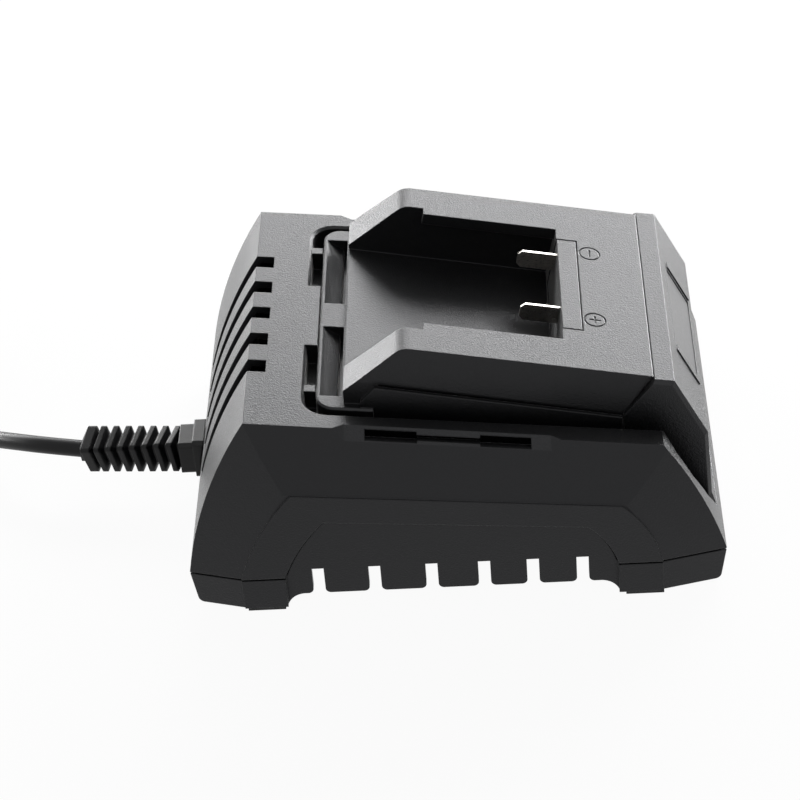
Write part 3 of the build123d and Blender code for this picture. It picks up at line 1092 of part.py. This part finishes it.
def terminal_wire(y):
    """Insulated wire from a blade's tail down to the circuit board."""
    tail_u = PLATE_START_U + PLATE_LENGTH + BLADE_TAIL
    tail_w = -BLADE_DROP - BLADE_WIDTH / 2 - TERMINAL_WIRE_DROP
    past, along, down = TERMINAL_WIRE_BEND
    tail_x, tail_z = dock_xz(tail_u, tail_w)
    bend_x, bend_z = dock_xz(tail_u + past, tail_w)
    points = ((tail_x, y, tail_z), (bend_x, y, bend_z), (bend_x + along, y, bend_z - down),
              (LEAD_FOOT_X, y, TERMINAL_WIRE_KNEE_Z), (LEAD_FOOT_X, y, BOARD_TOP))
    return tube(points, LEAD_DIAMETER)[0]


def coil():
    """Outer form of the put-away cord: its layers, the last half turn round them and both ends."""
    wire = CORD_DIAMETER
    corner = wire / 2 - NEAR
    width, height = COIL_COLUMNS * wire, COIL_LAYERS * wire
    section = Pos(COIL_RADIUS, height / 2) * RectangleRounded(width, height, corner)
    turns = revolve(Plane.XZ * section, Axis.Z)
    outer = Pos(LAST_TURN_RADIUS - wire / 2, wire / 2) * RectangleRounded(2 * wire, wire, corner)
    turns += Rot(0, 0, LAST_TURN_START) * revolve(Plane.XZ * outer, Axis.Z, 180 - LAST_TURN_START)
    turns = Pos(*COIL_CENTRE) * turns
    start, before = (Vector(*behind(*point)) for point in (CORD_ROUTE[-1], CORD_ROUTE[-2]))
    turns += Plane(origin=start, z_dir=start - before) * Cylinder(
        wire / 2, COIL_STUB, align=(Align.CENTER, Align.CENTER, Align.MIN))
    rise_start = Vector(PLUG_X, COIL_CENTRE[1] + LAST_TURN_LAP, wire / 2)
    rise_end = Vector(PLUG_X, COIL_CENTRE[1] - PLUG_RUN, PLUG_HEIGHT / 2)
    run = Plane(origin=rise_start, z_dir=rise_end - rise_start) * Cylinder(
        wire / 2 - LAST_TURN_FIT, PLUG_RUN + wire, align=(Align.CENTER, Align.CENTER, Align.MIN))
    return turns + (run - box_between(-FAR * 2, 0, -FAR, rise_end.Y, -FAR, FAR))


def plug_frame():
    """The plug's own frame, with its pins along X, laid beside the coil."""
    return Pos(PLUG_X, COIL_CENTRE[1] - PLUG_RUN - PLUG_TAIL - PLUG_LENGTH / 2, 0) * Rot(0, 0, -90)


def mains_plug():
    """Flat two-pin plug that lies beside the coil, with its own short boot."""
    plug = extrude(Rectangle(PLUG_LENGTH, PLUG_WIDTH), PLUG_HEIGHT)
    plug = chamfer(plug.edges().filter_by(Axis.Z).group_by(Axis.X)[0], PLUG_CHAMFER)
    plug = fillet(plug.edges().filter_by(Axis.Z), PLUG_ROUND)
    tail = Plane(origin=(-PLUG_LENGTH / 2, 0, PLUG_HEIGHT / 2), z_dir=(-1, 0, 0)) * Cone(
        *PLUG_TAIL_RADII, PLUG_TAIL, align=(Align.CENTER, Align.CENTER, Align.MIN))
    return plug_frame() * (plug + tail)


def plug_pins():
    pins = []
    for side in (-1, 1):
        root = PLUG_LENGTH / 2
        pin = cylinder_x(root, root + PIN_LENGTH, side * PIN_SPACING / 2, PLUG_HEIGHT / 2, PIN_RADIUS)
        pin = chamfer(pin.edges().group_by(Axis.X)[-1], PIN_CHAMFER)
        pins.append(plug_frame() * pin)
    return pins


# ---------------------------------------------------------------- write the parts
def group(solids):
    return Compound(children=solids)


if __name__ == "__main__":
    os.makedirs("parts", exist_ok=True)
    export(upper_housing(), "upper_housing")
    export(lower_housing(), "lower_housing")
    export(battery_dock(), "battery_dock")
    export(terminal_block(), "terminal_block")
    for name, y in BLADE_Y.items():
        export(blade(y), name)
    export(front_cover(), "front_cover")
    export(label_plate(), "label_plate")
    export(indicator_board(), "indicator_board")
    export(group(indicator_leds()), "indicator_leds")
    export(light_pipe(), "light_pipe")
    export(indicator_ribbon(), "indicator_ribbon")

    foot_names = ("rear_right_foot", "rear_left_foot", "front_right_foot", "front_left_foot")
    for (x, side), name in zip(foot_places(), foot_names):
        export(foot_solid(x, side, 0), name)
    housing_screws = [screw(x, y, HOUSING_SCREW_SEAT_Z, HOUSING_SCREW_LENGTH, True)
                      for x, y in housing_screw_places()]
    export(group(housing_screws), "housing_screws")
    dock_screws = [screw(x, y, dock_pad_z(x), DOCK_SCREW_LENGTH, True) for x, y in dock_screw_places()]
    export(group(dock_screws), "dock_screws")
    board_screws = [screw(x, y, BOARD_TOP, BOARD_SCREW_LENGTH, False) for x, y in board_screw_places()]
    export(group(board_screws), "board_screws")
    clamp_screws = [screw(sum(CLAMP_X) / 2, y, CLAMP_Z[1], CLAMP_SCREW_LENGTH, False)
                    for y in (-CLAMP_SCREW_Y, CLAMP_SCREW_Y)]
    export(group(clamp_screws), "clamp_screws")

    export(circuit_board(), "circuit_board")
    export(transformer_core(), "transformer_core")
    export(transformer_winding(), "transformer_winding")
    export(standing_cylinder(*on_board(MAINS_CAPACITOR_PLACE), *MAINS_CAPACITOR_SIZE), "mains_capacitor")
    export(standing(*on_board(X_CAPACITOR_PLACE), *X_CAPACITOR_SIZE), "x_capacitor")
    export(common_mode_choke(), "common_mode_choke")
    export(mains_fuse(), "mains_fuse")
    export(standing(*on_board(RECTIFIER_PLACE), *RECTIFIER_SIZE), "bridge_rectifier")
    export(heat_sink(TRANSISTOR_SINK_PLACE), "transistor_heat_sink")
    export(power_device(TRANSISTOR_SINK_PLACE), "switching_transistor")
    export(heat_sink(DIODE_SINK_PLACE), "diode_heat_sink")
    export(power_device(DIODE_SINK_PLACE), "output_diode")
    export(group(output_capacitors()), "output_capacitors")
    export(rating_plate(), "rating_plate")

    export(strain_relief(), "strain_relief")
    export(cord_clamp(), "cord_clamp")
    export(cylinder_x(GROMMET_X[1], LEAD_IN_END_X, 0, CORD_Z, CORD_DIAMETER / 2), "cord_lead_in")
    export(mains_wire(1), "live_lead")
    export(mains_wire(-1), "neutral_lead")
    export(terminal_wire(BLADE_Y["positive_blade"]), "positive_lead")
    export(terminal_wire(BLADE_Y["negative_blade"]), "negative_lead")

    route = [tuple(boot_tip())] + [behind(*point) for point in CORD_ROUTE]
    cord, length = tube(route, CORD_DIAMETER)
    export(cord, "power_cord")
    print("cord radii", [round(r, 1) for r in route_radii(route)])
    section = pi * CORD_DIAMETER ** 2 / 4
    print("cord volume", round(cord.volume, 1), "section times length", round(section * length, 1))
    export(coil(), "power_cord_coil")
    export(mains_plug(), "mains_plug")
    export(group(plug_pins()), "plug_pins")
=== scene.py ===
"""Power tool battery charger: camera, mains lead, materials, lamps and floor."""

import json
import math

import bpy
from mathutils import Matrix, Vector


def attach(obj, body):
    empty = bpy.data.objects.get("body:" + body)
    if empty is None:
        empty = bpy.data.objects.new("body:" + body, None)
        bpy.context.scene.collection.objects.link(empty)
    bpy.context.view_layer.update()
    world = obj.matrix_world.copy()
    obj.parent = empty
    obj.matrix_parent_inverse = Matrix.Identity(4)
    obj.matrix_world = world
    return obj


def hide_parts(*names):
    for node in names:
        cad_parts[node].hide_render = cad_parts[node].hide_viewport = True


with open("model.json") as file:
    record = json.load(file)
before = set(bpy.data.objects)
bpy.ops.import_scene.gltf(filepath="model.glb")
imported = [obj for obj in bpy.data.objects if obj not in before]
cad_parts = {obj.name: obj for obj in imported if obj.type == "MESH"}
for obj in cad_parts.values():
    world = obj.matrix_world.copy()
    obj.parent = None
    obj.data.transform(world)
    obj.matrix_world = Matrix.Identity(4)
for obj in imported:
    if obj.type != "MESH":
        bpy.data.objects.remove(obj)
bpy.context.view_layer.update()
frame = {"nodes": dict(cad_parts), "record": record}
scene = bpy.context.scene


def mm(*values):
    """Millimetres to metres, as a vector."""
    return Vector(values) * 0.001


# ---------------------------------------------------------------- camera
CAMERA_PLACE = (24.232, -702.405, 577.306)      # mm
CAMERA_AXES = (
    (0.99771395, 0.00791245, -0.06711376),
    (0.04813655, 0.61383301, 0.78796694),
    (0.04743139, -0.78939624, 0.61204888),
)
LENS = 117.0                                    # mm
SENSOR_WIDTH = 36.0                             # mm
CLIP_START, CLIP_END = 0.01, 50.0               # m

camera_data = bpy.data.cameras.new("camera")
camera_data.lens = LENS
camera_data.sensor_width = SENSOR_WIDTH
camera_data.clip_start = CLIP_START
camera_data.clip_end = CLIP_END
camera = bpy.data.objects.new("camera", camera_data)
scene.collection.objects.link(camera)
camera_turn = Matrix(CAMERA_AXES).transposed().to_4x4()
camera.matrix_world = Matrix.Translation(mm(*CAMERA_PLACE)) @ camera_turn
scene.camera = camera
scene.view_settings.view_transform = "Standard"

# ---------------------------------------------------------------- mains lead, in mm and degrees
CORD_DIAMETER = 6.0
CORD_EXIT = (-129.91, 2.53, 16.0)
CORD_ROUTE = (
    CORD_EXIT,
    (-143.5, 5.2, 16.2),
    (-157.0, 13.0, 12.6),
    (-168.0, 22.5, 7.0),
    (-175.5, 35.5, 3.0),
    (-178.6, 49.3, 3.0),
)
COIL_CENTRE = (-220.5, 71.0)
COIL_RADIUS = 33.0               # of the middle turn in each layer
COIL_POINTS = 18                 # control points of each turn
CHANGE_START = 280.0             # where a turn begins to move to its next place
FALL_END = 100.0                 # where the last half turn has come down to the table
PLUG_RUN_X = COIL_CENTRE[0] - 45.0
PLUG_RUN = ((62.0, 3.3), (54.0, 5.6), (44.0, 6.85))     # y and z, from the coil into the plug
SPLINE_ORDER = 3
SPLINE_STEPS = 6                 # between two control points
TUBE_STEPS = 6                   # bevel resolution of the round section


def coil_turns():
    """Control points of a coil of two layers, wound inwards and then outwards again."""
    d = CORD_DIAMETER
    inner, middle, outer = (COIL_RADIUS + step * d for step in (-1, 0, 1))
    low, high = d / 2, d * 1.5
    points = []
    for turn in range(6):        # three on the table, then three on top of them
        for step in range(COIL_POINTS):
            angle = 360.0 * step / COIL_POINTS
            change = max(0.0, (angle - CHANGE_START) / (360.0 - CHANGE_START))
            sine, cosine = math.sin(change * math.pi / 2), math.cos(change * math.pi / 2)
            outward = math.sqrt(2 * sine - sine * sine)
            radius, z = (
                (middle + d * cosine, low),
                (inner + d * cosine, low),
                (inner, low + d * sine),
                (inner + d * outward, high),
                (middle + d * outward, high),
                (outer + d * outward, high),
            )[turn]
            if turn or step:
                points.append((angle, radius, z))
    for step in range(COIL_POINTS // 2 + 1):
        angle = 360.0 * step / COIL_POINTS
        fall = min(1.0, angle / FALL_END)
        points.append((angle, outer + d, high - (high - low) * fall * fall * (3 - 2 * fall)))
    # The spline runs inside its control points, so they lie a little further out.
    spread = 2 / (1 + math.cos(math.pi / COIL_POINTS))
    placed = []
    for angle, radius, z in points:
        turned = math.radians(angle)
        placed.append((COIL_CENTRE[0] + spread * radius * math.cos(turned),
                       COIL_CENTRE[1] + spread * radius * math.sin(turned), z))
    return placed


def cord_points():
    """Control points from the strain relief through the coil into the plug."""
    *points, last = [*CORD_ROUTE, *coil_turns()]
    points.append((PLUG_RUN_X, last[1], last[2]))
    return points + [(PLUG_RUN_X, y, z) for y, z in PLUG_RUN]


def nurbs_tube(name, points, diameter):
    """A round tube along one smooth spline through its control points."""
    data = bpy.data.curves.new(name, "CURVE")
    data.dimensions = "3D"
    data.resolution_u = SPLINE_STEPS
    data.bevel_depth = 1.0       # metres, scaled by the radius of each point
    data.bevel_resolution = TUBE_STEPS
    data.use_fill_caps = True
    spline = data.splines.new("NURBS")
    spline.points.add(len(points) - 1)
    for point, place in zip(spline.points, points):
        point.co = (*mm(*place), 1.0)
        point.radius = diameter / 2 * 0.001
    spline.order_u = SPLINE_ORDER
    spline.use_endpoint_u = True
    tube = bpy.data.objects.new(name, data)
    scene.collection.objects.link(tube)
    return tube


cord = nurbs_tube("mains_lead", cord_points(), CORD_DIAMETER)
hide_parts("power_cord", "power_cord_coil")
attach(cord, "root")


# ---------------------------------------------------------------- materials
NOISE_LOW, NOISE_HIGH = 0.3, 0.7        # where most values of a noise lie
BEVEL_SAMPLES = 6

# scale, detail and, where it isn't the usual one, roughness of each noise
PLASTIC_TONE = (38.0, 4.0)
PLASTIC_SHINE = (900.0, 5.0)
PLASTIC_GRAIN = (2.0, 0.6)              # detail and roughness only, the scale is in MOULDED
METAL_TONE = (160.0, 4.0)
METAL_LINES = (700.0, 3.0, 0.6)
METAL_STRETCH = (1.0, 1.0, 9.0)         # the lines lie closer together along Z

PLASTIC_TONES = (0.86, 1.14)            # darkest and lightest, times the colour
METAL_TONES = (0.9, 1.05)
PLASTIC_SPREAD, METAL_SPREAD = 0.03, 0.05               # of the roughness, both ways
PLASTIC_STRENGTH, METAL_STRENGTH = 0.7, 0.2             # of the bump
METAL_RELIEF = 4                        # micrometres


def emptied_tree(owner):
    """The node tree of a new material or world, without its first nodes."""
    owner.use_nodes = True
    owner.node_tree.nodes.clear()
    return owner.node_tree


class Shader:
    """A node material under construction."""

    def __init__(self, name):
        self.material = bpy.data.materials.new(name)
        self.tree = emptied_tree(self.material)
        output = self.tree.nodes.new("ShaderNodeOutputMaterial")
        self.surface = self.tree.nodes.new("ShaderNodeBsdfPrincipled")
        self.link(self.surface.outputs["BSDF"], output.inputs["Surface"])
        self.place = self.tree.nodes.new("ShaderNodeTexCoord").outputs["Object"]

    def set(self, **values):
        for key, value in values.items():
            self.surface.inputs[key.replace("_", " ")].default_value = value

    def link(self, source, target):
        self.tree.links.new(source, target)

    def noise(self, scale, detail, roughness=0.55, stretch=None):
        node = self.tree.nodes.new("ShaderNodeTexNoise")
        node.inputs["Scale"].default_value = scale
        node.inputs["Detail"].default_value = detail
        node.inputs["Roughness"].default_value = roughness
        source = self.place
        if stretch:
            mapping = self.tree.nodes.new("ShaderNodeMapping")
            mapping.inputs["Scale"].default_value = stretch
            self.link(source, mapping.inputs["Vector"])
            source = mapping.outputs["Vector"]
        self.link(source, node.inputs["Vector"])
        return node.outputs["Fac"]

    def shine(self, source, roughness, spread):
        """Roughness that a noise moves both ways by up to the spread."""
        node = self.tree.nodes.new("ShaderNodeMapRange")
        node.inputs["From Min"].default_value = NOISE_LOW
        node.inputs["From Max"].default_value = NOISE_HIGH
        node.inputs["To Min"].default_value = roughness - spread
        node.inputs["To Max"].default_value = roughness + spread
        self.link(source, node.inputs["Value"])
        self.link(node.outputs["Result"], self.surface.inputs["Roughness"])

    def tones(self, source, colour, factors):
        """Base colour that a noise moves from the first to the second factor times the colour."""
        node = self.tree.nodes.new("ShaderNodeValToRGB")
        for element, position, factor in zip(node.color_ramp.elements, (NOISE_LOW, NOISE_HIGH), factors):
            element.position = position
            element.color = (*(min(1.0, channel * factor) for channel in colour), 1.0)
        self.link(source, node.inputs["Fac"])
        self.link(node.outputs["Color"], self.surface.inputs["Base Color"])

    def bump(self, source, relief, strength, rounding):
        """Relief in micrometres, over edges rounded by a radius in mm."""
        node = self.tree.nodes.new("ShaderNodeBump")
        node.inputs["Distance"].default_value = relief * 0.000001
        node.inputs["Strength"].default_value = strength
        self.link(source, node.inputs["Height"])
        if rounding:
            bevel = self.tree.nodes.new("ShaderNodeBevel")
            bevel.samples = BEVEL_SAMPLES
            bevel.inputs["Radius"].default_value = rounding * 0.001
            self.link(bevel.outputs["Normal"], node.inputs["Normal"])
        self.link(node.outputs["Normal"], self.surface.inputs["Normal"])


def moulded(name, colour, roughness, grain, relief, rounding, **more):
    """Moulded plastic or rubber with a fine spark-eroded grain."""
    shader = Shader(name)
    shader.set(Roughness=roughness, **more)
    shader.tones(shader.noise(*PLASTIC_TONE), colour, PLASTIC_TONES)
    shader.shine(shader.noise(*PLASTIC_SHINE), roughness, PLASTIC_SPREAD)
    shader.bump(shader.noise(grain, *PLASTIC_GRAIN), relief, PLASTIC_STRENGTH, rounding)
    return shader.material


def metal(name, colour, roughness, rounding):
    """Metal with fine level marks, as rolling or drawing leaves them."""
    shader = Shader(name)
    shader.set(Metallic=1.0)
    shader.tones(shader.noise(*METAL_TONE), colour, METAL_TONES)
    lines = shader.noise(*METAL_LINES, METAL_STRETCH)
    shader.shine(lines, roughness, METAL_SPREAD)
    shader.bump(lines, METAL_RELIEF, METAL_STRENGTH, rounding)
    return shader.material


HOUSING_BLACK = (0.0049, 0.0050, 0.0054)
HOUSING_LOOK = {"Specular_IOR_Level": 0.3, "Specular_Tint": (0.96, 0.965, 1.0, 1.0),
                "Sheen_Weight": 0.3, "Sheen_Roughness": 0.25}
FLEX_BLACK = (0.0030, 0.0031, 0.0036)
FLEX_LOOK = {"Specular_IOR_Level": 0.22}
CLEAR_LOOK = {"Transmission_Weight": 0.9, "IOR": 1.49}

# slot: name, colour, roughness, scale of the grain, relief in micrometres, rounding in mm, other inputs
MOULDED = {
    "black_housing_plastic": ("housing_plastic", HOUSING_BLACK, 0.38, 1900.0, 200, 0.5, HOUSING_LOOK),
    "black_flexible_plastic": ("flexible_plastic", FLEX_BLACK, 0.4, 1500.0, 40, 0.8, FLEX_LOOK),
    "black_rubber": ("foot_rubber", (0.012, 0.012, 0.012), 0.72, 900.0, 60, 0.5, {}),
    "blank_plates": ("blank_plate", (0.028, 0.028, 0.030), 0.36, 900.0, 10, 0.2, {}),
    "green_circuit_board": ("board", (0.02, 0.16, 0.055), 0.35, 500.0, 20, 0.1, {}),
    "ferrite": ("ferrite", (0.03, 0.03, 0.032), 0.6, 700.0, 50, 0.3, {}),
    "yellow_winding_tape": ("winding_tape", (0.75, 0.52, 0.06), 0.4, 300.0, 30, 0.2, {}),
    "capacitor_sleeve": ("capacitor_sleeve", (0.02, 0.03, 0.09), 0.3, 300.0, 10, 0.4, {}),
    "grey_component_case": ("grey_case", (0.3, 0.3, 0.3), 0.5, 900.0, 20, 0.3, {}),
    "black_component_case": ("black_case", (0.02, 0.02, 0.02), 0.5, 900.0, 20, 0.2, {}),
    "red_insulation": ("red_insulation", (0.45, 0.02, 0.02), 0.4, 900.0, 20, 0.2, {}),
    "black_insulation": ("black_insulation", (0.015, 0.015, 0.015), 0.4, 900.0, 20, 0.2, {}),
    "brown_insulation": ("brown_insulation", (0.12, 0.04, 0.015), 0.4, 900.0, 20, 0.2, {}),
    "blue_insulation": ("blue_insulation", (0.02, 0.08, 0.35), 0.4, 900.0, 20, 0.2, {}),
    "green_led": ("green_led", (0.05, 0.5, 0.1), 0.2, 900.0, 10, 0.2, {}),
    "clear_acrylic": ("clear_acrylic", (0.9, 0.93, 0.93), 0.12, 500.0, 10, 0.3, CLEAR_LOOK),
}
# slot: name, colour, roughness, rounding in mm
METALS = {
    "nickel_plated_contacts": ("nickel", (0.47, 0.45, 0.42), 0.3, 0.0),
    "zinc_plated_steel": ("zinc", (0.62, 0.63, 0.65), 0.34, 0.2),
    "aluminium_heat_sink": ("aluminium", (0.66, 0.67, 0.68), 0.38, 0.2),
}

finishes = {slot: moulded(*row, **more) for slot, (*row, more) in MOULDED.items()}
finishes.update((slot, metal(*row)) for slot, row in METALS.items())

for subpart in frame["record"]["subparts"]:
    for material_slot in frame["nodes"][subpart["node"]].material_slots:
        material_slot.material = finishes[subpart["material_slot"]]
cord.data.materials.append(finishes["black_flexible_plastic"])


# ---------------------------------------------------------------- stage, in metres
# name, place, height on the Z axis that the lamp faces, width, height, power over pi times area
LAMPS = (
    ("back_softbox", (0.26, 0.95, 0.60), 0.05, 1.1, 0.36, 15.5),
    ("left_panel", (-0.58, 0.98, 0.36), 0.05, 0.55, 0.34, 7.8),
    ("left_low", (-1.0, 0.72, 0.09), 0.05, 1.1, 0.18, 29.0),
    ("right_low", (0.86, 0.88, 0.12), 0.05, 0.9, 0.22, 35.0),
    ("front_fill", (0.25, -1.0, 1.45), 0.04, 1.0, 0.7, 1.1),
)
AMBIENT_COLOUR, AMBIENT_STRENGTH = (0.95, 0.97, 1.0, 1.0), 0.08
WHITE, WHITE_STRENGTH = (1.0, 1.0, 1.0, 1.0), 1.0
FLOOR_REACH = 6.0
FLOOR_COLOUR = (0.85, 0.85, 0.85, 1.0)
FLOOR_WHITE_SHARE = 0.95         # of what the camera sees; the rest keeps the shadow


def area_light(name, place, target_z, width, height, strength):
    data = bpy.data.lights.new(name, "AREA")
    data.shape = "RECTANGLE"
    data.size, data.size_y = width, height
    data.energy = strength * math.pi * width * height
    lamp = bpy.data.objects.new(name, data)
    lamp.location = place
    lamp.rotation_mode = "QUATERNION"
    direction = Vector((0.0, 0.0, target_z)) - Vector(place)
    lamp.rotation_quaternion = direction.to_track_quat("-Z", "Y")
    lamp.visible_camera = False
    scene.collection.objects.link(lamp)


def seen_as_white(tree):
    """Factor that is one for camera, glossy and transmission rays."""
    path = tree.nodes.new("ShaderNodeLightPath")
    factor = path.outputs["Is Camera Ray"]
    for name in ("Is Glossy Ray", "Is Transmission Ray"):
        either = tree.nodes.new("ShaderNodeMath")
        either.operation = "MAXIMUM"
        tree.links.new(factor, either.inputs[0])
        tree.links.new(path.outputs[name], either.inputs[1])
        factor = either.outputs[0]
    return factor


def coloured(tree, kind, colour, strength=None):
    """Output of a new shader node of one colour."""
    node = tree.nodes.new(kind)
    node.inputs["Color"].default_value = colour
    if strength is not None:
        node.inputs["Strength"].default_value = strength
    return node.outputs[0]


def finish_tree(tree, kind, factor, first, second):
    """Mix the second shader over the first by the factor, into an output node."""
    mix = tree.nodes.new("ShaderNodeMixShader")
    output = tree.nodes.new(kind)
    tree.links.new(factor, mix.inputs["Fac"])
    tree.links.new(first, mix.inputs[1])
    tree.links.new(second, mix.inputs[2])
    tree.links.new(mix.outputs[0], output.inputs["Surface"])


for lamp_row in LAMPS:
    area_light(*lamp_row)

world = bpy.data.worlds.new("studio")
scene.world = world
world_tree = emptied_tree(world)
finish_tree(world_tree, "ShaderNodeOutputWorld", seen_as_white(world_tree),
            coloured(world_tree, "ShaderNodeBackground", AMBIENT_COLOUR, AMBIENT_STRENGTH),
            coloured(world_tree, "ShaderNodeBackground", WHITE, WHITE_STRENGTH))

floor_mesh = bpy.data.meshes.new("floor")
corners = [(x * FLOOR_REACH, y * FLOOR_REACH, 0) for x, y in ((-1, -1), (1, -1), (1, 1), (-1, 1))]
floor_mesh.from_pydata(corners, [], [(0, 1, 2, 3)])
floor = bpy.data.objects.new("floor", floor_mesh)
scene.collection.objects.link(floor)
floor_material = bpy.data.materials.new("floor")
floor_tree = emptied_tree(floor_material)
white_share = floor_tree.nodes.new("ShaderNodeMath")
white_share.operation = "MULTIPLY"
white_share.inputs[1].default_value = FLOOR_WHITE_SHARE
floor_tree.links.new(seen_as_white(floor_tree), white_share.inputs[0])
finish_tree(floor_tree, "ShaderNodeOutputMaterial", white_share.outputs[0],
            coloured(floor_tree, "ShaderNodeBsdfDiffuse", FLOOR_COLOUR),
            coloured(floor_tree, "ShaderNodeEmission", WHITE, WHITE_STRENGTH))
floor.data.materials.append(floor_material)
